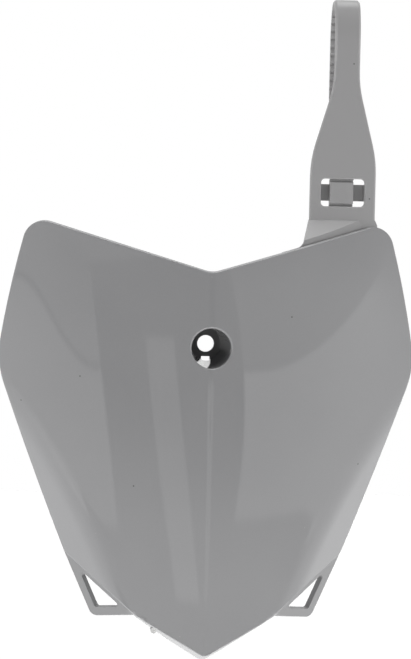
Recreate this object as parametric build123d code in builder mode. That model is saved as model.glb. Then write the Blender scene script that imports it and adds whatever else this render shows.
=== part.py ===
from build123d import *
import os
from math import asin, cos, degrees, hypot, radians, sin, tan

# Front number board of an off-road motorbike, moulded in one piece.
# Seen from the front, +X is right and +Z is up. +Y points back to the forks.
# The origin is the bolt hole, on the rear face of the pocket's floor.

# Crowned face: two arcs that meet at an upright spine, at three heights
wall = 2.8
spine_fall = 5.7
spine_round = 15.0
crown_top_margin = 20.3
crown_top_radius = 340.0
crown_top_set_back = 9.0
crown_middle_radius = 400.0
crown_bottom_margin = 14.2
crown_bottom_radius = 250.0
crown_bottom_set_back = 4.2
crown_bottom_half_width = 87.0
crown_side_margin = 14.0
crown_block_depth = 80.0

# Lower side facets, turned back along a soft fold
facet_sweep = 38.0
facet_droop = 13.0
fold_round = 30.0

# Outline of the face, seen from the front
notch_height = 43.7
notch_round = 14.0
shoulder_half_width = 105.6
shoulder_height = 74.7
shoulder_round = 13.0
side_half_width = 123.7
side_height = -12.0
side_round = 55.0
side_bow = 1.7
flank_half_width = 82.0
flank_height = -123.6
flank_bow = 0.8
flank_round = 9.0
chin_half_width = 41.0
chin_height = -157.3
chin_round = 16.0
tip_height = -180.8
tip_round = 5.0
rim_round = 1.6

# Bolt pocket
pocket_depth = 46.0
mouth_diameter = 23.2
mouth_round = 1.2
floor_diameter = 18.4
floor_thickness = 3.0
boss_wall = 2.4
boss_root_round = 4.0
bolt_hole_diameter = 10.0
slot_width = 5.1
slot_drop = 7.6
slot_height = 6.0
slot_reach = 8.0

# Layer behind the face that carries the hose loops and the strap's root
backing_set_back = 1.4
loop_thickness = 3.4

# Hose loops: the corner is counted along and out from the face's edge
loop_run = 37.0
loop_reach = 18.6
loop_corner_round = 5.0
loop_outer_bar = 5.0
loop_bottom_bar = 5.0
loop_edge_bar = 2.3
loop_hole_round = 1.6
loop_overlap = 4.0

# Lip behind the lower edge, flared towards the rear, with the stub of the mould's gate
lip_set_back = 22.0
lip_half_width = 22.0
lip_end_set_back = 14.0
lip_flare = 15.0
lip_wall = 2.4
lip_grip = 10.0
stub_offset = 29.4
stub_drop = 2.5
stub_diameter = 3.6
stub_set_back = 13.0
stub_length = 5.0

# Strap, seen from the front, counted up from the face's top edge
strap_center = 78.0
strap_set_back = 31.0
strap_thickness = 2.6
strap_width = 39.1
strap_edge_round = 1.4
strap_rear_chamfer = 0.6
root_slope = 45.0
root_grip = 8.0
root_ridge_round = 2.5
root_flare = 5.2
root_flare_round = 6.0
root_web = 12.0
groove_set_back = 3.8
groove_depth = 4.0
foot_width = 10.0
foot_flare = 1.4
fold_rise = 8.8
fold_overlap = 1.0
straight_run = 35.2
taper_run = 43.7
taper_round = 70.0
neck_width = 15.0
neck_shift = 0.95
neck_chamfer = 1.2
neck_run = 13.7

# Strap, seen from the side: an arch, a run down the back and a lean through the keeper
bend_run = 22.1
loop_gap = 23.0
arch_lean = 24.4
arch_straight = 1.7
shoulder_bend = 38.0
back_run = 50.1
entry_lean = 38.0
entry_straight = 8.8
tip_lead = 12.1
tip_shift = -0.6
tip_shift_run = 4.5
tip_width = 13.9
tip_run = 38.0
tip_corner_round = 4.0

# Ratchet teeth on the inner face of the strap
tooth_count = 15
tooth_pitch = 4.9
tooth_height = 1.2
tooth_land = 2.2
tooth_gap = 0.9
tooth_root = 0.4
plain_run = 25.0

# Window and keeper bar
window_width = 25.8
window_height = 16.2
window_rise = 15.9
window_round = 2.3
window_chamfer = 0.6
keeper_gap = 0.8
keeper_clearance = 0.6
keeper_bar_height = 9.8
keeper_bar_thickness = 2.6
keeper_leg = 3.0
keeper_round = 2.0

# Raised pad on the strap's tip, which stands in the window, with an ejector pin's mark
pad_height = 12.8
pad_set_back = 0.8
pad_chamfer = 0.4
pin_mark_diameter = 6.4
pin_mark_depth = 0.15
pin_mark_drop = 1.8

# Slack for finding an edge by its place
edge_slack = 0.4

# Places that follow from the sizes above
front = -(pocket_depth + floor_thickness)
mouth_radius = mouth_diameter / 2
floor_radius = floor_diameter / 2
crown_half_width = side_half_width + crown_side_margin
crown_bottom_height = tip_height - crown_bottom_margin
levels = (
    (shoulder_height + crown_top_margin, crown_top_set_back, crown_top_radius, crown_half_width),
    (0.0, 0.0, crown_middle_radius, crown_half_width),
    (crown_bottom_height, crown_bottom_set_back, crown_bottom_radius, crown_bottom_half_width),
)
strap_front = front + strap_set_back
strap_rear = strap_front + strap_thickness
strap_left = strap_center - strap_width / 2
strap_right = strap_center + strap_width / 2
top_slope = (shoulder_height - notch_height) / shoulder_half_width
fold_height = notch_height + top_slope * strap_center + fold_rise
window_middle = fold_height + window_rise
taper_bottom = fold_height + straight_run
taper_top = taper_bottom + taper_run
neck_top = taper_top + neck_run
bend_height = neck_top + bend_run
neck_center = strap_center + neck_shift
tip_center = strap_center + tip_shift
tip_front = strap_rear + keeper_gap
pad_front = strap_front + pad_set_back
tip_middle = tip_front + strap_thickness / 2


def crown_depth(distance, radius):
    """How far one arc of the crown falls back at a distance from the spine."""
    start = radians(spine_fall)
    end = asin(distance / radius + sin(start))
    return radius * (cos(start) - cos(end))


def facet_plane(side):
    """Plane of a lower facet, through the widest point of the face. Its z points out."""
    outwards = side * sin(radians(facet_sweep)) * cos(radians(facet_droop))
    forwards = -cos(radians(facet_sweep)) * cos(radians(facet_droop))
    widest = (
        side * side_half_width,
        front + crown_depth(side_half_width, crown_middle_radius),
        side_height,
    )
    return Plane(
        origin=widest,
        x_dir=(-forwards, outwards, 0),
        z_dir=(outwards, forwards, -sin(radians(facet_droop))),
    )


def crown_block(inset):
    """Solid behind the crowned face, with that face moved back by inset."""
    with BuildPart() as block:
        for height, set_back, radius, half_width in levels:
            offset_x = radius * sin(radians(spine_fall))
            center_y = front + set_back + radius * cos(radians(spine_fall))
            start = degrees(asin(offset_x / (radius - inset)))
            end = degrees(asin((half_width + offset_x) / radius))
            with BuildSketch(Plane.XY.offset(height)):
                with BuildLine():
                    right = CenterArc((-offset_x, center_y), radius - inset, start - 90, end - start)
                    left = CenterArc((offset_x, center_y), radius - inset, -end - 90, end - start)
                    Polyline(
                        right @ 1,
                        ((right @ 1).X, front + crown_block_depth),
                        ((left @ 0).X, front + crown_block_depth),
                        left @ 0,
                    )
                make_face()
        loft()
        spine = block.edges().filter_by(lambda edge: abs(edge.center().X) < edge_slack).sort_by(Axis.Y)[0]
        fillet(spine, spine_round)
        for side in (1, -1):
            facet = facet_plane(side).offset(-inset)
            split(bisect_by=facet, keep=Keep.BOTTOM)
            face = block.faces().sort_by_distance(facet.origin)[0]
            edges = face.edges().filter_by(lambda edge: edge.center().Z > crown_bottom_height + edge_slack)
            fillet(edges.sort_by(lambda edge: abs(edge.center().X))[0], fold_round - inset)
    return block.part


def loop_point(place):
    """A front-view place on the right loop's front face, in that face's own x and y."""
    across = loop_plane.z_dir.X * (place.X - loop_plane.origin.X)
    down = loop_plane.z_dir.Z * (place.Y - loop_plane.origin.Z)
    depth = loop_plane.origin.Y - (across + down) / loop_plane.z_dir.Y
    local = loop_plane.to_local_coords(Vector(place.X, depth, place.Y))
    return Vector(local.X, local.Y)


def inset_corner(corner, last, following, last_bar, next_bar):
    """Inner corner of a frame whose two bars meet at a corner."""
    to_last = (last - corner).normalized()
    to_next = (following - corner).normalized()
    spread = abs(to_last.cross(to_next).Z)
    return corner + to_last * (next_bar / spread) + to_next * (last_bar / spread)


def top_edge(half_width):
    """Height of the face's top edge at a distance from the spine."""
    return notch_height + top_slope * half_width


def lip_block(inset):
    """Solid inside the lip's two flared walls, with both moved in by inset."""
    slant = hypot(chin_half_width, chin_height - tip_height)
    out_x = (chin_height - tip_height) / slant
    out_z = -chin_half_width / slant
    tip_depth = crown_bottom_set_back
    chin_depth = tip_depth + crown_depth(chin_half_width, crown_bottom_radius)
    with BuildPart() as block:
        for depth in (tip_depth, lip_set_back):
            tip_out = (depth - tip_depth) * tan(radians(lip_flare)) - inset
            chin_out = (depth - chin_depth) * tan(radians(lip_flare)) - inset
            low = Vector(0, tip_height + tip_out / out_z)
            end = Vector(chin_half_width + out_x * chin_out, chin_height + out_z * chin_out)
            far = end + (end - low).normalized() * lip_grip
            with BuildSketch(Plane.XZ.offset(-front - depth)) as section:
                with BuildLine():
                    Polyline(low, far, (far.X, chin_height + lip_grip + inset))
                    mirror(about=Plane.YZ)
                    Line((far.X, chin_height + lip_grip + inset), (-far.X, chin_height + lip_grip + inset))
                make_face()
                fillet(section.vertices().sort_by(Axis.Y)[0], tip_round - inset)
        loft()
    return block.part


def rings_mouth(edge):
    """Whether an edge runs round the mouth of the bolt pocket."""
    places = (edge @ 0, edge @ 0.5, edge @ 1)
    return all(
        abs(hypot(place.X, place.Z) - mouth_radius) < edge_slack and place.Y < front + pocket_depth / 2
        for place in places
    )


crown = crown_block(0)
backing_front = crown_block(backing_set_back)

# Deep boss of the bolt pocket, flared at its root and closed by the face's own curve
flare_plane = front + wall / 2
flare_radius = floor_radius + boss_wall + (mouth_radius - floor_radius) * flare_plane / front
flange_radius = flare_radius + 2 * boss_root_round
with BuildPart() as boss:
    with BuildSketch(Plane.XY) as boss_profile:
        with BuildLine():
            Polyline(
                (0, front - wall),
                (flange_radius, front - wall),
                (flange_radius, flare_plane),
                (flare_radius, flare_plane),
                (floor_radius + boss_wall, 0),
                (0, 0),
                close=True,
            )
        make_face()
        fillet(boss_profile.vertices().sort_by_distance((flare_radius, flare_plane))[0], boss_root_round)
    revolve(axis=Axis.Y)
    add(crown, mode=Mode.INTERSECT)

# Triangular hose loop of the right side, in line with its facet
loop_plane = facet_plane(1).offset(-backing_set_back)
flank_place = Vector(flank_half_width, flank_height)
chin_place = Vector(chin_half_width, chin_height)
edge_run = (chin_place - flank_place).normalized()
edge_out = edge_run.rotate(Axis.Z, 90)
flank_rise = (Vector(side_half_width, side_height) - flank_place).normalized()
flank = loop_point(flank_place)
corner = loop_point(flank_place + edge_run * loop_run + edge_out * loop_reach)
chin = loop_point(chin_place)
flank_up = loop_point(flank_place + flank_rise * loop_overlap)
chin_up = loop_point(chin_place + Vector(0, loop_overlap))
with BuildPart() as hose_loop:
    with BuildSketch(loop_plane) as loop_frame:
        with BuildLine():
            Polyline(flank_up, flank, corner, chin, chin_up, close=True)
        make_face()
        fillet(loop_frame.vertices().sort_by_distance(corner)[0], loop_corner_round)
        with BuildLine():
            FilletPolyline(
                inset_corner(flank, chin, corner, loop_edge_bar, loop_outer_bar),
                inset_corner(corner, flank, chin, loop_outer_bar, loop_bottom_bar),
                inset_corner(chin, corner, flank, loop_bottom_bar, loop_edge_bar),
                radius=loop_hole_round,
                close=True,
            )
        make_face(mode=Mode.SUBTRACT)
    extrude(amount=crown_block_depth, both=True)
    add(backing_front, mode=Mode.INTERSECT)
    add(crown_block(backing_set_back + loop_thickness), mode=Mode.SUBTRACT)

# Lip behind the lower edge, between the chin's two corners
with BuildPart() as lip:
    add(lip_block(0))
    add(lip_block(lip_wall), mode=Mode.SUBTRACT)
    with BuildSketch(Plane.XY):
        with BuildLine():
            Polyline(
                (0, front),
                (chin_half_width, front),
                (chin_half_width, front + lip_end_set_back),
                (lip_half_width, front + lip_set_back),
                (0, front + lip_set_back),
            )
            mirror(about=Plane.YZ)
        make_face()
    extrude(amount=crown_bottom_height, mode=Mode.INTERSECT)
    add(crown_block(rim_round), mode=Mode.INTERSECT)

# Stub where the mould's gate was cut off, under the left half of the lip
stub_edge = tip_height + (chin_height - tip_height) * stub_offset / chin_half_width
with BuildPart() as gate_stub:
    with BuildSketch(Plane.XZ.offset(-front - stub_set_back)):
        with Locations((-stub_offset, stub_edge - stub_drop)):
            Circle(stub_diameter / 2)
    extrude(amount=-stub_length)

# Root of the strap: a sheet behind the top edge that slopes back to the strap's plane
fold_slope = Plane(
    origin=(0, strap_front, fold_height),
    x_dir=(1, 0, 0),
    z_dir=(0, -sin(radians(root_slope)), cos(radians(root_slope))),
)
with BuildPart() as root_hollow:
    add(crown_block(groove_set_back + strap_thickness))
    split(bisect_by=fold_slope.offset(-strap_thickness), keep=Keep.BOTTOM)

flare_left = strap_left - root_flare
web_left = flare_left - root_web
groove_left = web_left - root_grip
groove_right = strap_right + root_grip
with BuildPart() as root_groove:
    with BuildSketch(Plane.XZ):
        with BuildLine():
            Polyline(
                (groove_left, top_edge(groove_left) - groove_depth),
                (groove_right, top_edge(groove_right) - groove_depth),
                (groove_right, fold_height + root_grip),
                (groove_left, fold_height + root_grip),
                close=True,
            )
        make_face()
    extrude(amount=crown_block_depth, both=True)
    add(crown_block(groove_set_back), mode=Mode.SUBTRACT)

with BuildPart() as strap_root:
    with BuildSketch(Plane.XZ) as root_outline:
        with BuildLine():
            Polyline(
                (strap_left, fold_height),
                (flare_left, top_edge(flare_left)),
                (web_left, top_edge(web_left)),
                (web_left, top_edge(web_left) - root_grip),
                (strap_right, top_edge(strap_right) - root_grip),
                (strap_right, fold_height),
                close=True,
            )
        make_face()
        hollow_corner = root_outline.vertices().sort_by_distance((flare_left, top_edge(flare_left)))[0]
        fillet(hollow_corner, root_flare_round)
    extrude(amount=crown_block_depth, both=True)
    add(backing_front, mode=Mode.INTERSECT)
    add(root_groove.part, mode=Mode.SUBTRACT)
    split(bisect_by=fold_slope, keep=Keep.BOTTOM)
    split(bisect_by=Plane.XZ.offset(-strap_rear), keep=Keep.TOP)
    slope_face = strap_root.faces().filter_by(lambda face: face.normal_at().Z > 0).sort_by(Axis.Z)[-1]
    ridge = slope_face.edges().sort_by(Axis.Y)[0]
    fillet(ridge, root_ridge_round)
    add(root_hollow.part, mode=Mode.SUBTRACT)

# Upright run of the strap, tapered to the neck, with the keeper's window
with BuildPart() as strap_run:
    with BuildSketch(Plane.XZ.offset(-strap_front)) as run_outline:
        with BuildLine():
            Polyline(
                (strap_left, fold_height - fold_overlap),
                (strap_right, fold_height - fold_overlap),
                (strap_right, taper_bottom),
                (neck_center + neck_width / 2, taper_top),
                (neck_center + neck_width / 2, neck_top),
                (neck_center - neck_width / 2, neck_top),
                (neck_center - neck_width / 2, taper_top),
                (strap_left, taper_bottom),
                close=True,
            )
        make_face()
        for height in (taper_bottom, taper_top):
            bends = run_outline.vertices().filter_by_position(Axis.Y, height - edge_slack, height + edge_slack)
            fillet(bends, taper_round)
    extrude(amount=-strap_thickness)
    long_edges = strap_run.edges().filter_by(Axis.Y, reverse=True).filter_by(Axis.X, reverse=True)
    run_front, run_rear = long_edges.group_by(Axis.Y)
    fillet(run_front, strap_edge_round)
    chamfer(run_rear, strap_rear_chamfer)
    with BuildSketch(Plane.XZ.offset(-strap_front)):
        with Locations((strap_center, window_middle)):
            RectangleRounded(window_width, window_height, window_round)
    extrude(amount=-strap_thickness, mode=Mode.SUBTRACT)
    window_mouth = strap_run.faces().sort_by(Axis.Y)[0].inner_wires()[0].edges()
    chamfer(window_mouth, window_chamfer)

# Foot of the strap's right edge, which runs down behind the face past the end of the slope
with BuildPart() as strap_foot:
    with BuildSketch(Plane.XZ.offset(-strap_front)):
        with BuildLine():
            Polyline(
                (strap_right - foot_width, fold_height),
                (strap_right, fold_height),
                (strap_right + foot_flare, top_edge(strap_right)),
                (strap_right + foot_flare, top_edge(strap_right) - root_grip),
                (strap_right - foot_width, top_edge(strap_right) - root_grip),
                close=True,
            )
        make_face()
    extrude(amount=-strap_thickness)

# Keeper bar behind the window, on two short legs
bar_front = tip_front + strap_thickness + keeper_clearance
bar_rear = bar_front + keeper_bar_thickness
leg_inside = window_width / 2
leg_outside = leg_inside + keeper_leg
with BuildPart() as keeper:
    with BuildSketch(Plane.XY.offset(window_middle - keeper_bar_height / 2)) as bar_section:
        with BuildLine():
            Polyline(
                (strap_center + leg_inside, strap_rear),
                (strap_center + leg_inside, bar_front),
                (strap_center - leg_inside, bar_front),
                (strap_center - leg_inside, strap_rear),
                (strap_center - leg_outside, strap_rear),
                (strap_center - leg_outside, bar_rear),
                (strap_center + leg_outside, bar_rear),
                (strap_center + leg_outside, strap_rear),
                close=True,
            )
        make_face()
        fillet(bar_section.vertices().group_by(Axis.Y)[-1], keeper_round)
    extrude(amount=keeper_bar_height)

# Neck of the strap: over the top, down the back and through the keeper
run_middle = strap_front + strap_thickness / 2
back_middle = run_middle + loop_gap
lean = radians(arch_lean)
apex_bend = (loop_gap / 2 - shoulder_bend * (1 - cos(lean)) - arch_straight * sin(lean)) / cos(lean)
entry_turn = radians(entry_lean)
entry_shift = back_middle - tip_middle
entry_top = bend_height - back_run
entry_bottom = entry_top - entry_shift / tan(entry_turn)
tip_top = entry_bottom - tip_lead
entry_bend = (entry_shift / sin(entry_turn) - entry_straight) / (2 * tan(entry_turn / 2))
neck_end = Plane(origin=(neck_center, run_middle, neck_top), x_dir=(1, 0, 0), z_dir=(0, 0, 1))
with BuildPart() as strap_loop:
    with BuildLine(Plane.YZ.offset(neck_center)) as loop_path:
        FilletPolyline(
            (run_middle, neck_top),
            (run_middle, bend_height),
            (run_middle + loop_gap / 2, bend_height + loop_gap / 2 / tan(lean)),
            (back_middle, bend_height),
            (back_middle, entry_top),
            (tip_middle, entry_bottom),
            (tip_middle, tip_top),
            radius=[shoulder_bend, apex_bend, shoulder_bend, entry_bend, entry_bend],
        )
    with BuildSketch(neck_end) as neck_section:
        Rectangle(neck_width, strap_thickness)
        chamfer(neck_section.vertices().group_by(Axis.Y)[0], neck_chamfer)
    sweep()

# Tip of the strap, a little to the left, with its pad in the window
tip_end = tip_top - tip_run
with BuildPart() as strap_tip:
    with BuildSketch(Plane.XZ.offset(-tip_front)) as tip_outline:
        with BuildLine():
            Polyline(
                (neck_center - neck_width / 2, tip_top),
                (neck_center + neck_width / 2, tip_top),
                (tip_center + tip_width / 2, tip_top - tip_shift_run),
                (tip_center + tip_width / 2, tip_end),
                (tip_center - tip_width / 2, tip_end),
                (tip_center - tip_width / 2, tip_top - tip_shift_run),
                close=True,
            )
        make_face()
        fillet(tip_outline.vertices().group_by(Axis.Y)[0], tip_corner_round)
    extrude(amount=-strap_thickness)
    with BuildSketch(Plane.XZ.offset(-pad_front)):
        with Locations((tip_center, window_middle)):
            Rectangle(tip_width, pad_height)
    extrude(amount=pad_front - tip_front)
    chamfer(strap_tip.faces().sort_by(Axis.Y)[0].edges(), pad_chamfer)
    with BuildSketch(Plane.XZ.offset(-pad_front)):
        with Locations((tip_center, window_middle - pin_mark_drop)):
            Circle(pin_mark_diameter / 2)
    extrude(amount=-pin_mark_depth, mode=Mode.SUBTRACT)

# Ratchet teeth on the inner face, steep side up, ending above the plain run
path = loop_path.wires()[0]
with BuildPart() as ratchet:
    with BuildSketch(Plane.YZ.offset(neck_center)):
        for index in range(tooth_count):
            along = path.length - plain_run - (tooth_count - index) * tooth_pitch
            place = path.position_at(along, PositionMode.LENGTH)
            tangent = path.tangent_at(along, PositionMode.LENGTH)
            middle = Vector(place.Y, place.Z)
            heading = Vector(tangent.Y, tangent.Z)
            inwards = heading.rotate(Axis.Z, -90)
            crest = middle + inwards * (strap_thickness / 2 + tooth_height)
            root = middle + inwards * (strap_thickness / 2 - tooth_root)
            tooth_run = heading * (tooth_pitch - tooth_gap)
            toe = middle + inwards * (strap_thickness / 2) + tooth_run
            with BuildLine():
                Polyline(root, crest, crest + heading * tooth_land, toe, root + tooth_run, close=True)
            make_face()
    extrude(amount=neck_width / 2, both=True)

with BuildPart() as number_board:
    add(crown)
    add(crown_block(wall), mode=Mode.SUBTRACT)
    with BuildSketch(Plane.XZ) as face_outline:
        with BuildLine():
            Line((0, notch_height), (shoulder_half_width, shoulder_height))
            SagittaArc((shoulder_half_width, shoulder_height), (side_half_width, side_height), side_bow)
            SagittaArc((side_half_width, side_height), (flank_half_width, flank_height), flank_bow)
            Polyline(
                (flank_half_width, flank_height),
                (chin_half_width, chin_height),
                (0, tip_height),
            )
            mirror(about=Plane.YZ)
        make_face()
        corners = (
            (notch_height, notch_round),
            (shoulder_height, shoulder_round),
            (side_height, side_round),
            (flank_height, flank_round),
            (chin_height, chin_round),
            (tip_height, tip_round),
        )
        for height, radius in corners:
            pair = face_outline.vertices().filter_by_position(Axis.Y, height - edge_slack, height + edge_slack)
            fillet(pair, radius)
    extrude(amount=crown_block_depth, both=True, mode=Mode.INTERSECT)

    # Rounded rim, between the front faces and the cut edges
    rim_walls = number_board.faces().group_by(lambda face: abs(face.normal_at().Y))[0]
    fronts = number_board.faces().filter_by(lambda face: face.normal_at().Y < 0 and face not in rim_walls)
    front_edges = fronts.edges()
    fillet(rim_walls.edges().filter_by(lambda edge: edge in front_edges), rim_round)

    # Bolt pocket, with its bolt hole and slot
    add(boss.part)
    with BuildSketch(Plane.XY):
        with BuildLine():
            Polyline(
                (0, front - wall),
                (mouth_radius, front - wall),
                (mouth_radius, front),
                (floor_radius, -floor_thickness),
                (0, -floor_thickness),
                close=True,
            )
        make_face()
    revolve(axis=Axis.Y, mode=Mode.SUBTRACT)
    fillet(number_board.edges().filter_by(rings_mouth), mouth_round)
    with BuildSketch(Plane.XZ):
        Circle(bolt_hole_diameter / 2)
    extrude(amount=floor_thickness, mode=Mode.SUBTRACT)
    with BuildSketch(Plane.XZ):
        with Locations((0, -slot_drop)):
            Rectangle(slot_width, slot_height, align=(Align.CENTER, Align.MAX))
    extrude(amount=floor_thickness + slot_reach, mode=Mode.SUBTRACT)

    # Loops on both sides, the lip with its stub, and the strap on the right
    add(hose_loop.part)
    add(mirror(hose_loop.part, about=Plane.YZ, mode=Mode.PRIVATE))
    add(lip.part)
    add(gate_stub.part)
    add(strap_root.part)
    add(strap_foot.part)
    add(strap_run.part)
    add(keeper.part)
    add(strap_loop.part)
    add(strap_tip.part)
    add(ratchet.part)

number_board.part.label = "number_board"
os.makedirs("parts", exist_ok=True)
export_step(number_board.part, "parts/number_board.step")
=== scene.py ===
import math

import bmesh
import bpy
from mathutils import Matrix, Vector


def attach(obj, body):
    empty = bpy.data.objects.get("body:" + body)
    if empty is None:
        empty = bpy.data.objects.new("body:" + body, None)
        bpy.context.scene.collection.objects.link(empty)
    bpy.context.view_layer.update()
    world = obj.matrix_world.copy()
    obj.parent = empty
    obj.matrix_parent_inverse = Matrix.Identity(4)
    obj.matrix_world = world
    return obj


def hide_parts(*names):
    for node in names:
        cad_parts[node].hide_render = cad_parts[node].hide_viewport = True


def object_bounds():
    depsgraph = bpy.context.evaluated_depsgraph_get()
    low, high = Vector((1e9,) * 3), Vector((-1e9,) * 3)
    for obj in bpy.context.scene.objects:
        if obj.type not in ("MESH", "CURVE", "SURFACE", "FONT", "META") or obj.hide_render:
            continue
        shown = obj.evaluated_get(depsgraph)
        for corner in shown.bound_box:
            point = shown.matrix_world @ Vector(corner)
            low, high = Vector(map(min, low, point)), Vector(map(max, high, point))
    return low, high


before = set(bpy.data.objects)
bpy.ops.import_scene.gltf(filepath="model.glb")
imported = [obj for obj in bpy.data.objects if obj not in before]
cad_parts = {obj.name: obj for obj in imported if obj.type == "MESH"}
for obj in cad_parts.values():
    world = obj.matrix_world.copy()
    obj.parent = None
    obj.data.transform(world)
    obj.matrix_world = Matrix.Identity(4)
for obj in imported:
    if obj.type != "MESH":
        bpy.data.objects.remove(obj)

cad_low, cad_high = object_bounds()

# Number board
# One injection moulding in mid grey polypropylene: a polished, crowned shield with a satin strap on its right.
# It comes out of the mould whole, and one bolt through its pocket and the closed strap hold it to the bike.
# The shield's face is a lofted crown, so its shading follows that curve and not the triangles of the mesh.
weld_distance = 0.00002
cut_distance = weld_distance / 2
crease_angle = math.radians(28)
smooth_joint = math.radians(24)
face_slope = 0.3

crown_front = -0.049
crown_heights = (0.095, 0.0, -0.195)
crown_set_backs = (0.009, 0.0, 0.0042)
crown_radii = (0.34, 0.40, 0.25)
crown_reach = 0.0012
crown_turn = math.radians(2)
rise_step = 0.001

spine_fall = math.radians(5.7)
spine_half_width = 0.0019
spine_reach = 2 * spine_half_width
spine_taper = 0.007
spine_taper_start = -0.02
spine_turn = math.radians(8)
spine_facing = 0.9
spine_cuts = 9

facet_sweep = math.radians(38)
facet_droop = math.radians(13)
facet_turn = math.radians(1.5)
facet_reach = 0.0008
facet_corner = (0.1237, -0.012)
facet_inside = 0.03
facet_top = 0.01

fold_start = 0.001
fold_end = 0.016
fold_slant = (0.878, -0.478)
fold_cuts = 12
fold_turn = math.radians(20)
fold_least_turn = 0.1
fold_top = 0.03

pocket_radius = 0.0128
pocket_floor = -0.002
pocket_draft = 0.09
pocket_facing = 0.9


def through_three(places, values, place):
    """Value at a place on the parabola through three points."""
    total = 0.0
    for index in range(3):
        share = values[index]
        for other in range(3):
            if other != index:
                share *= (place - places[other]) / (places[index] - places[other])
        total += share
    return total


def crown_depth(x, z):
    """Depth of the crowned face at a place seen from the front."""
    radius = through_three(crown_heights, crown_radii, z)
    turn = math.asin(min(abs(x) / radius + math.sin(spine_fall), 1.0))
    fall = radius * (math.cos(spine_fall) - math.cos(turn))
    return crown_front + through_three(crown_heights, crown_set_backs, z) + fall


def crown_normal(x, z):
    """Direction that the crowned face looks in, softened across the spine."""
    soft_half_width = spine_half_width + min(z - spine_taper_start, 0.0) * spine_taper
    beside = math.copysign(max(abs(x), soft_half_width), x)
    radius = through_three(crown_heights, crown_radii, z)
    lean = math.copysign(abs(beside) / radius + math.sin(spine_fall), beside)
    slope = lean / math.sqrt(1 - lean * lean) * x / beside
    rise = crown_depth(beside, z + rise_step) - crown_depth(beside, z - rise_step)
    return Vector((slope, -1.0, rise / (2 * rise_step))).normalized()


def facet_normal(x):
    """Direction that the lower facet on the side of x looks in."""
    return Vector((
        math.copysign(math.sin(facet_sweep), x) * math.cos(facet_droop),
        -math.cos(facet_sweep) * math.cos(facet_droop),
        -math.sin(facet_droop),
    ))


def above_facet(place):
    """Distance of a place in front of the plane of the facet on its side."""
    out, height = facet_corner
    corner = Vector((math.copysign(out, place.x), crown_depth(out, height), height))
    return (place - corner).dot(facet_normal(place.x))


def fold_normal(place):
    """Direction that the soft fold looks in, which turns from the crown's to the facet's across it."""
    facet = facet_normal(place.x)
    crown = crown_normal(place.x, place.z)
    above = above_facet(Vector((place.x, crown_depth(place.x, place.z), place.z)))
    past = above / math.tan(max(crown.angle(facet), fold_least_turn))
    share = min(max((past - fold_start) / (fold_end - fold_start), 0.0), 1.0)
    return crown.slerp(facet, share)


def cut_along(mesh, faces, on_plane, across_plane):
    """Cuts some faces of a mesh along a plane."""
    strips = {}
    for face in faces:
        strips.update(dict.fromkeys([face, *face.edges, *face.verts]))
    bmesh.ops.bisect_plane(
        mesh,
        geom=list(strips),
        dist=cut_distance,
        plane_co=on_plane,
        plane_no=across_plane,
    )


loose_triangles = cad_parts["number_board"].data
weld = bmesh.new()
weld.from_mesh(loose_triangles)
bmesh.ops.remove_doubles(weld, verts=weld.verts, dist=weld_distance)

# The facets are cut into strips along their fold, so that their shading can turn across them
corner_out, corner_height = facet_corner
slant_out, slant_up = fold_slant
for side in (-1, 1):
    for cut in range(fold_cuts):
        past = fold_start + (fold_end - fold_start) * cut / (fold_cuts - 1)
        on_fold = []
        for face in weld.faces:
            middle = face.calc_center_median()
            on_flank = middle.x * side > facet_inside and middle.z < facet_top
            if on_flank and face.normal.angle(facet_normal(side)) < fold_turn:
                on_fold.append(face)
        on_plane = (side * (corner_out + past * slant_out), 0, corner_height + past * slant_up)
        cut_along(weld, on_fold, on_plane, (side * slant_out, 0, slant_up))

# So is the spine, which is rounded over a few millimetres
for cut in range(spine_cuts):
    share = 2 * cut / (spine_cuts - 1) - 1
    on_spine = []
    for face in weld.faces:
        nearest = min(abs(corner.co.x) for corner in face.verts)
        if face.normal.y < -spine_facing and nearest < spine_reach:
            on_spine.append(face)
    cut_along(weld, on_spine, (share * spine_half_width, 0, 0), (1, 0, 0))
bmesh.ops.triangulate(weld, faces=[face for face in weld.faces if len(face.verts) > 3])
weld.normal_update()
weld.verts.index_update()

# The crown and the facets are polished, and so are the faces that join them smoothly
polish = weld.faces.layers.float.new("polish")
face_normals = {}
spread = []
for face in weld.faces:
    middle = face.calc_center_median()
    if face.normal.y > -face_slope:
        continue
    if face.normal.angle(facet_normal(middle.x)) < facet_turn and abs(above_facet(middle)) < facet_reach:
        ruled = {corner.index: fold_normal(corner.co) for corner in face.verts}
    elif abs(middle.y - crown_depth(middle.x, middle.z)) < crown_reach:
        allowed = spine_turn if abs(middle.x) < spine_reach else crown_turn
        if face.normal.angle(crown_normal(middle.x, middle.z)) > allowed:
            continue
        ruled = {corner.index: crown_normal(corner.co.x, corner.co.z) for corner in face.verts}
    else:
        continue
    face_normals.update(ruled)
    face[polish] = 1.0
    spread.append(face)
while spread:
    face = spread.pop()
    for edge in face.edges:
        for neighbour in edge.link_faces:
            joint = neighbour.normal.angle(face.normal)
            if neighbour[polish] == 0.0 and neighbour.normal.y < -face_slope and joint < smooth_joint:
                neighbour[polish] = 1.0
                spread.append(neighbour)

# Corners on the fold's own round turn with it
for corner in weld.verts:
    if corner.index in face_normals or corner.co.z > fold_top or abs(corner.co.x) < facet_inside:
        continue
    if any(face[polish] for face in corner.link_faces):
        folded = fold_normal(corner.co)
        if folded.angle(corner.normal) < fold_turn:
            face_normals[corner.index] = folded

# The pocket is polished inside, and its boss is satin outside
for face in weld.faces:
    middle = face.calc_center_median()
    inward = face.normal.x * middle.x + face.normal.z * middle.z < 0 or face.normal.y < -face_slope
    if math.hypot(middle.x, middle.z) < pocket_radius and middle.y < pocket_floor and inward:
        face[polish] = 1.0

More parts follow.
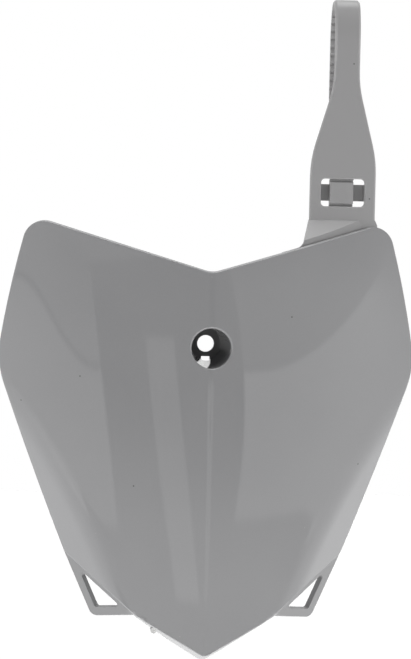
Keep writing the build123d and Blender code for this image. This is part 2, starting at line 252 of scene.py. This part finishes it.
welded_mesh = bpy.data.meshes.new("moulded_board")
weld.to_mesh(welded_mesh)
weld.free()
old_normals = welded_mesh.attributes.get("custom_normal")
if old_normals is not None:
    welded_mesh.attributes.remove(old_normals)
welded_mesh.shade_smooth()
welded_mesh.set_sharp_from_angle(angle=crease_angle)
board = bpy.data.objects.new("moulded_board", welded_mesh)
bpy.context.scene.collection.objects.link(board)

# Flat faces keep their own direction, and the crown and facets take theirs from the rules above
flat_first = board.modifiers.new("flat_first", "WEIGHTED_NORMAL")
flat_first.mode = "FACE_AREA"
flat_first.keep_sharp = True
ready = bpy.context.evaluated_depsgraph_get()
board_mesh = bpy.data.meshes.new_from_object(board.evaluated_get(ready), depsgraph=ready)
board_mesh.name = "moulded_board"
board.modifiers.remove(flat_first)
board.data = board_mesh
corner_normals = [corner.vector.copy() for corner in board_mesh.corner_normals]
for face in board_mesh.polygons:
    for loop in face.loop_indices:
        ruled = face_normals.get(board_mesh.loops[loop].vertex_index)
        if ruled is not None and ruled.angle(face.normal, math.pi) < crease_angle:
            corner_normals[loop] = ruled

    # The pocket's wall is shaded as a straight bore
    outward = Vector((face.center.x, 0, face.center.z))
    in_pocket = outward.length < pocket_radius and face.center.y < pocket_floor
    upright = abs(face.normal.y) < pocket_draft
    if in_pocket and upright and face.normal.dot(outward) < -pocket_facing * outward.length:
        for loop in face.loop_indices:
            rim = board_mesh.vertices[board_mesh.loops[loop].vertex_index].co
            corner_normals[loop] = -Vector((rim.x, 0, rim.z)).normalized()
board_mesh.normals_split_custom_set(corner_normals)


class Shade:
    """A socket inside a node tree. Arithmetic on it adds Math nodes."""

    def __init__(self, tree, socket=None):
        self.tree = tree
        self.socket = socket

    def node(self, kind, settings=None, sockets=None, output=0):
        """Adds one node: its settings first, then the values or links of its sockets."""
        made = self.tree.nodes.new(kind)
        for name, value in (settings or {}).items():
            setattr(made, name, value)
        for name, value in (sockets or {}).items():
            if isinstance(value, Shade):
                self.tree.links.new(value.socket, made.inputs[name])
            else:
                made.inputs[name].default_value = value
        return Shade(self.tree, made.outputs[output] if made.outputs else None)

    def output(self, name):
        """Another output of the same node."""
        return Shade(self.tree, self.socket.node.outputs[name])

    def math(self, operation, first, second=0.0):
        return self.node("ShaderNodeMath", {"operation": operation}, {0: first, 1: second})

    def __add__(self, other):
        return self.math("ADD", self, other)

    __radd__ = __add__

    def __sub__(self, other):
        return self.math("SUBTRACT", self, other)

    def __rsub__(self, other):
        return self.math("SUBTRACT", other, self)

    def __mul__(self, other):
        return self.math("MULTIPLY", self, other)

    __rmul__ = __mul__

    def __neg__(self):
        return self.math("SUBTRACT", 0.0, self)

    def __abs__(self):
        return self.math("ABSOLUTE", self)

    def step(self, low, high):
        """A soft step from 0 to 1 between two values."""
        return self.node(
            "ShaderNodeMapRange",
            {"interpolation_type": "SMOOTHSTEP"},
            {"Value": self, "From Min": low, "From Max": high},
        )

    def fall(self, low, high):
        """A soft step from 1 to 0 between two values."""
        return 1.0 - self.step(low, high)

    def above(self, limit, blur):
        """1 above a limit and 0 below it, with a soft edge."""
        return self.step(limit - blur, limit + blur)

    def below(self, limit, blur):
        """1 below a limit and 0 above it, with a soft edge."""
        return self.fall(limit - blur, limit + blur)

    def band(self, outer_low, inner_low, inner_high, outer_high):
        """1 between the inner values and 0 past the outer ones."""
        return self.step(outer_low, inner_low) * self.fall(inner_high, outer_high)

    def towards(self, other, share):
        """A value between this one and another, by a share."""
        return self + share * (other - self)

    def mix(self, first, second):
        """A colour between two others, by this share."""
        return self.node(
            "ShaderNodeMix",
            {"data_type": "RGBA"},
            {"Factor": self, "A": first, "B": second},
            "Result",
        )


pale_grey = (0.286, 0.286, 0.291, 1.0)
dark_grey = (0.269, 0.269, 0.275, 1.0)
# The next two greys are painted shade on the hose loops and painted light on the strap
loop_painted_shade_grey = (0.222, 0.222, 0.226, 1.0)
strap_painted_light_grey = (0.315, 0.312, 0.315, 1.0)
dust_color = (0.45, 0.44, 0.42, 1.0)
mark_color = (0.09, 0.09, 0.09, 1.0)
# A pale spot painted on the gate's stub
pale_stub_color = (0.72, 0.72, 0.71, 1.0)
plastic_ior = 1.49

polished_roughness = 0.03
satin_roughness = 0.36
polished_grain_roughness = 0.01
satin_grain_roughness = 0.06
flow_roughness = 0.02
dust_roughness = 0.4

flow_scale = 16.0
flow_band = (0.3, 0.7)
flow_share = 0.6
grain_scale = 1400.0
grain_band = (0.25, 0.75)
peel_scale = 210.0
noise_middle = 0.5

grain_height = 0.5
peel_height = 0.03
dust_height = 0.6
relief_strength = 0.06
relief_depth = 0.0004

dust_radius = 0.00022
dust_core = 0.6 * dust_radius
dust_spacing = 0.018
mark_radius = 0.00042
mark_blur = 0.4 * mark_radius
mark_places = (
    (-0.0432, -0.0442, -0.0806),
    (-0.0751, -0.0351, -0.0181),
    (-0.1089, -0.0212, -0.0338),
    (0.0470, -0.0402, 0.0186),
    (0.0900, -0.0259, -0.0683),
    (0.0939, -0.0180, 0.0880),
    (0.0827, -0.0180, 0.1670),
)
stub_radius = 0.0021
stub_blur = 0.1 * stub_radius
stub_place = (-0.0294, -0.0365, -0.1665)
strap_start = (0.048, 0.060)
loop_start = (0.044, -0.122)
finish_blur = 0.002

grey_plastic = bpy.data.materials.new("grey_plastic")
grey_plastic.use_nodes = True
grey_plastic.node_tree.nodes.clear()
plastic_tree = Shade(grey_plastic.node_tree)
on_board = plastic_tree.node("ShaderNodeTexCoord", None, None, "Object")
polished = plastic_tree.node("ShaderNodeAttribute", {"attribute_name": "polish"}, None, "Fac")
satin = 1.0 - polished


def noise(scale, detail):
    """Cloudy noise over the board, between 0 and 1."""
    return plastic_tree.node("ShaderNodeTexNoise", None, {"Vector": on_board, "Scale": scale, "Detail": detail})


def spot(middle, radius, blur):
    """A round spot: 1 inside its radius and 0 outside, with a soft edge."""
    away = plastic_tree.node(
        "ShaderNodeVectorMath", {"operation": "DISTANCE"}, {0: on_board, 1: middle}, "Value"
    )
    return away.below(radius, blur)


flow = noise(flow_scale, detail=3.0)
grain = noise(grain_scale, detail=2.0)
peel = noise(peel_scale, detail=1.0)
dust = plastic_tree.node(
    "ShaderNodeTexVoronoi", None, {"Vector": on_board, "Scale": 1 / dust_spacing}, "Distance"
)
speck = dust.fall(dust_core / dust_spacing, dust_radius / dust_spacing)

# The shield's grey is clouded where the melt flowed. The strap's grey is painted lighter and the hose loops'
# darker: painted light and painted shade on the one plastic
tone = flow.step(*flow_band) * flow_share + grain.step(*grain_band) * (1 - flow_share)
color = tone.mix(dark_grey, pale_grey)
to_right = plastic_tree.node("ShaderNodeSeparateXYZ", None, {"Vector": on_board})
upwards = to_right.output("Z")
strap_x, strap_z = strap_start
strap_painted_light = to_right.above(strap_x, finish_blur) * upwards.above(strap_z, finish_blur) * satin
color = strap_painted_light.mix(color, strap_painted_light_grey)
loop_x, loop_z = loop_start
loop_painted_shade = abs(to_right).above(loop_x, finish_blur) * upwards.below(loop_z, finish_blur) * satin
color = loop_painted_shade.mix(color, loop_painted_shade_grey)

# Dust, small dark marks in the plastic, and a pale spot painted on the gate's stub
color = speck.mix(color, dust_color)
marked = sum(spot(mark, mark_radius, mark_blur) for mark in mark_places)
color = marked.mix(color, mark_color)
color = spot(stub_place, stub_radius, stub_blur).mix(color, pale_stub_color)

roughness = satin_roughness - polished * (satin_roughness - polished_roughness)
grain_roughness = satin_grain_roughness - polished * (satin_grain_roughness - polished_grain_roughness)
roughness = roughness + (grain - noise_middle) * grain_roughness
roughness = roughness + (flow - noise_middle) * flow_roughness + speck * dust_roughness
height = grain * satin * grain_height + peel * polished * peel_height + speck * dust_height
relief = plastic_tree.node(
    "ShaderNodeBump",
    None,
    {"Strength": relief_strength, "Distance": relief_depth, "Height": height},
)
plastic = plastic_tree.node(
    "ShaderNodeBsdfPrincipled",
    None,
    {"Base Color": color, "Roughness": roughness, "IOR": plastic_ior, "Normal": relief},
)
plastic_tree.node("ShaderNodeOutputMaterial", None, {"Surface": plastic})
board_mesh.materials.clear()
board_mesh.materials.append(grey_plastic)
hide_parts("number_board")
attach(board, "root")

# Studio
# A pale table well below the board, which hangs by its bolt inside a tent of white cloth.
# The tent glows evenly in each part but not all round: it is open towards the camera, with a strip of cloth
# and two panels in that opening, a bright ring around it and a dim wall behind.
table_drop = 0.30
table_half_size = 3.0
table_color = (0.86, 0.86, 0.86, 1.0)

table_height = cad_low[2] - table_drop
table_mesh = bpy.data.meshes.new("table")
table_mesh.from_pydata(
    [
        (x * table_half_size, y * table_half_size, table_height)
        for x, y in ((-1, -1), (1, -1), (1, 1), (-1, 1))
    ],
    [],
    [(0, 1, 2, 3)],
)
table = bpy.data.objects.new("table", table_mesh)
bpy.context.scene.collection.objects.link(table)
table_cloth = bpy.data.materials.new("table_cloth")
table_cloth.use_nodes = True
table_cloth.node_tree.nodes.clear()
table_tree = Shade(table_cloth.node_tree)
cloth = table_tree.node("ShaderNodeBsdfDiffuse", None, {"Color": table_color})
table_tree.node("ShaderNodeOutputMaterial", None, {"Surface": cloth})
table_mesh.materials.append(table_cloth)
table.visible_diffuse = False
table.visible_glossy = False

# Every direction in the tent is given by its azimuth, in degrees to the right, and its elevation, in degrees up
tent = bpy.data.worlds.new("light_tent")
bpy.context.scene.world = tent
tent.use_nodes = True
tent.node_tree.nodes.clear()
tent_tree = Shade(tent.node_tree)
direction = tent_tree.node("ShaderNodeTexCoord")
rightwards = tent_tree.node("ShaderNodeSeparateXYZ", None, {"Vector": direction})
backwards = rightwards.output("Y")
frontwards = -backwards
azimuth = tent_tree.math("ARCTAN2", rightwards, frontwards) * math.degrees(1)
elevation = tent_tree.math("ARCSINE", rightwards.output("Z")) * math.degrees(1)

# The ring of cloth around the opening gets brighter downwards
upper_light = 0.40
middle_light = 1.85
middle_edge = (0.0, 20.0)
lower_light = 3.3
lower_edge = (-40.0, -22.0)
ring = upper_light + elevation.fall(*middle_edge) * (middle_light - upper_light)
ring = ring + elevation.fall(*lower_edge) * (lower_light - middle_light)

# Its sides are lit for the board's lower facets, first beside the opening and then further round
ring_middle = 5.0
bridge_light = 2.2
bridge_start = (42.0, 52.0)
bridge_band = (-30.0, -22.0, -4.0, 2.0)
left_side_light = 2.8
right_side_light = 3.35
left_to_right = (-10.0, 10.0)
side_spread = (60.0, 90.0, 92.0, 100.0)
side_band = (-38.0, -30.0, -14.0, -6.0)
turned = abs(azimuth - ring_middle)
ring = ring.towards(bridge_light, turned.step(*bridge_start) * elevation.band(*bridge_band))
side_light = left_side_light + azimuth.step(*left_to_right) * (right_side_light - left_side_light)
ring = ring.towards(side_light, turned.band(*side_spread) * elevation.band(*side_band))

# The roof and the ground are bright, and the wall behind is dim with a brighter foot
roof_light = 4.0
roof_edge = (58.0, 70.0)
ground_light = 3.4
ground_edge = (-64.0, -52.0)
wall_light = 0.9
wall_edge = (0.85, 0.95)
foot_light = 2.4
foot_edge = (-16.0, 0.0)
behind_edge = (0.4, 0.65)
ring = ring.towards(roof_light, elevation.step(*roof_edge))
ring = ring.towards(ground_light, elevation.fall(*ground_edge))
behind_light = wall_light + elevation.fall(*foot_edge) * (foot_light - wall_light)
ring = ring.towards(behind_light, backwards.step(*behind_edge))
ring = ring.towards(wall_light, backwards.step(*wall_edge))

# The opening is dark, brighter low down, and darkest in the band where the camera's stand is
opening_light = 0.26
opening_rim = math.cos(math.radians(58))
opening_inside = math.cos(math.radians(47))
low_light = 1.8
low_band = (-26.0, -22.0, -18.0, 1.0)
stand_light = 0.06
stand_spread = (-7.0, -6.0, 15.0, 16.0)
stand_gap = (-23.5, -21.5, -18.2, -16.2)
lens_azimuth = 4.5
lens_elevation = -3.3
lens_edge = (1.4, 2.4)
opening = frontwards.step(opening_rim, opening_inside)
low = elevation.band(*low_band)
stand = azimuth.band(*stand_spread)
lens = (abs(azimuth - lens_azimuth) + abs(elevation - lens_elevation)).fall(*lens_edge)
dark = opening_light + low * (low_light - opening_light)
dark = dark.towards(stand_light, stand * (1.0 - elevation.band(*stand_gap)))
dark = dark.towards(stand_light, lens)

# A strip of cloth hangs aslant on its left, and the stand has a lit edge that only the rounded spine faces
edge_blur = 0.3
strip_light = 0.95
strip_middle = -15.8
strip_slant = -0.275
strip_half_width = 2.7
strip_top = (3.0, 3.7)
strip_foot = -17.3
ridge_light = 1.0
ridge_low_gain = 1.2
ridge_band = (-18.2, -16.2, -1.0, 1.0)
from_strip = abs(azimuth - (strip_middle + strip_slant * elevation))
strip = from_strip.below(strip_half_width, edge_blur)
strip = strip * elevation.fall(*strip_top) * elevation.above(strip_foot, edge_blur)
ridge = stand * elevation.band(*ridge_band) * (1.0 - lens) * (1.0 + low * ridge_low_gain)

# The left panel has a bowed near edge, a slanted top, a creased fold across it and a pale patch above its top
panel_light = 1.18
left_edge = -27.6
left_edge_slant = -0.31
left_edge_bow = -0.012
left_fold = 0.75
left_fold_rise = 8.3
left_fold_turn = (-47.0, -29.0)
left_top_azimuth = -31.6
left_top_elevation = 9.4
left_top_slant = -0.456
left_top_blur = 1.0
left_base = -12.5
left_base_blur = 0.7
base_drop = 6.0
left_base_turn = (-46.0, -36.0)
left_below_gain = 0.25
left_fold_loss = 0.35
left_crease = (0.1, 0.7)
left_crease_loss = 0.5
left_far = (-60.0, -28.0)
left_far_gain = 0.75
left_high = (1.0, 13.0)
left_high_loss = 0.75
left_low_gain = 0.9
patch_light = 0.4
patch_band = (9.2, 10.0, 14.0, 20.0)
patch_edge = (-24.0, -14.0)
near_edge = left_edge + left_edge_slant * elevation + left_edge_bow * elevation * elevation
above_fold = elevation - left_fold - left_fold_rise * azimuth.fall(*left_fold_turn)
above_top = elevation - left_top_elevation - left_top_slant * (azimuth - left_top_azimuth)
above_base = elevation - left_base + base_drop * azimuth.fall(*left_base_turn)
left_panel = (near_edge - azimuth).above(0.0, edge_blur) * above_base.above(0.0, left_base_blur)
left_panel = left_panel * above_top.below(0.0, left_top_blur)
left_light = panel_light + left_below_gain - above_fold.above(0.0, edge_blur) * left_fold_loss
left_light = left_light - abs(above_fold).fall(*left_crease) * left_crease_loss
left_light = left_light + azimuth.fall(*left_far) * left_far_gain
left_light = left_light - elevation.step(*left_high) * left_high_loss + low * left_low_gain
patch = above_top.above(0.0, left_top_blur) * elevation.band(*patch_band) * azimuth.fall(*patch_edge)

# The right panel has a bowed near edge, and its fold bends upwards away from the opening
right_edge = 22.7
right_edge_bow = -0.022
right_bow_middle = -3.5
right_fold = 0.6
right_fold_bend = 0.0115
right_bend_start = 24.7
right_base = -10.8
right_base_blur = 0.6
right_base_turn = (36.0, 46.0)
right_top = 9.0
right_top_blur = 3.0
right_top_fade = 0.6
right_below_gain = 0.5
right_fold_loss = 0.95
right_far = (24.0, 60.0)
right_far_gain = 0.5
right_low_gain = 0.5
bow = elevation - right_bow_middle
bend = azimuth - right_bend_start
near_edge = right_edge + right_edge_bow * bow * bow
above_fold = elevation - (right_fold + right_fold_bend * bend * bend)
above_base = elevation - right_base + base_drop * azimuth.step(*right_base_turn)
right_panel = (azimuth - near_edge).above(0.0, edge_blur) * above_base.above(0.0, right_base_blur)
right_panel = right_panel * (1.0 - elevation.above(right_top, right_top_blur) * right_top_fade)
right_light = panel_light + right_below_gain - above_fold.above(0.0, edge_blur) * right_fold_loss
right_light = right_light + azimuth.step(*right_far) * right_far_gain + low * right_low_gain

# The camera sees the tent as plain white, and the board sees all of its parts
seen = dark + strip * (strip_light - opening_light) + ridge * ridge_light + patch * patch_light
seen = seen + left_panel * (left_light - dark) + right_panel * (right_light - dark)
seen = ring.towards(seen, opening)
white = (1.0, 1.0, 1.0, 1.0)
by_camera = tent_tree.node("ShaderNodeLightPath", None, None, "Is Camera Ray")
in_view = tent_tree.math("MAXIMUM", by_camera, by_camera.output("Is Transmission Ray"))
glow = tent_tree.node("ShaderNodeBackground", None, {"Color": white, "Strength": seen.towards(1.0, in_view)})
tent_tree.node("ShaderNodeOutputWorld", None, {"Surface": glow})

# Camera
# A studio camera with a long lens, on its stand in the tent's opening.
# It stands a little left of the board's middle and above it, slightly turned about its own axis.
camera_azimuth = math.radians(-4.5)
camera_elevation = math.radians(3.35)
camera_roll = math.radians(1.26)
camera_distance = 1.3
camera_target = Vector((-0.00385, crown_front, 0.011))
camera_sensor = 36
picture_height = 659
focal_pixels = 2261

camera_lens = bpy.data.cameras.new("camera")
camera_lens.sensor_width = camera_sensor
camera_lens.lens = camera_sensor * focal_pixels / picture_height
camera = bpy.data.objects.new("camera", camera_lens)
bpy.context.scene.collection.objects.link(camera)
away_from_board = Vector((
    math.sin(camera_azimuth) * math.cos(camera_elevation),
    -math.cos(camera_azimuth) * math.cos(camera_elevation),
    math.sin(camera_elevation),
))
level_right = Vector((0, 0, 1)).cross(away_from_board).normalized()
level_up = away_from_board.cross(level_right)
camera_right = level_right * math.cos(camera_roll) + level_up * math.sin(camera_roll)
camera_up = level_up * math.cos(camera_roll) - level_right * math.sin(camera_roll)
camera_turn = Matrix((camera_right, camera_up, away_from_board)).transposed().to_4x4()
camera.matrix_world = Matrix.Translation(camera_target + away_from_board * camera_distance) @ camera_turn
bpy.context.scene.camera = camera
bpy.context.scene.view_settings.view_transform = "Standard"
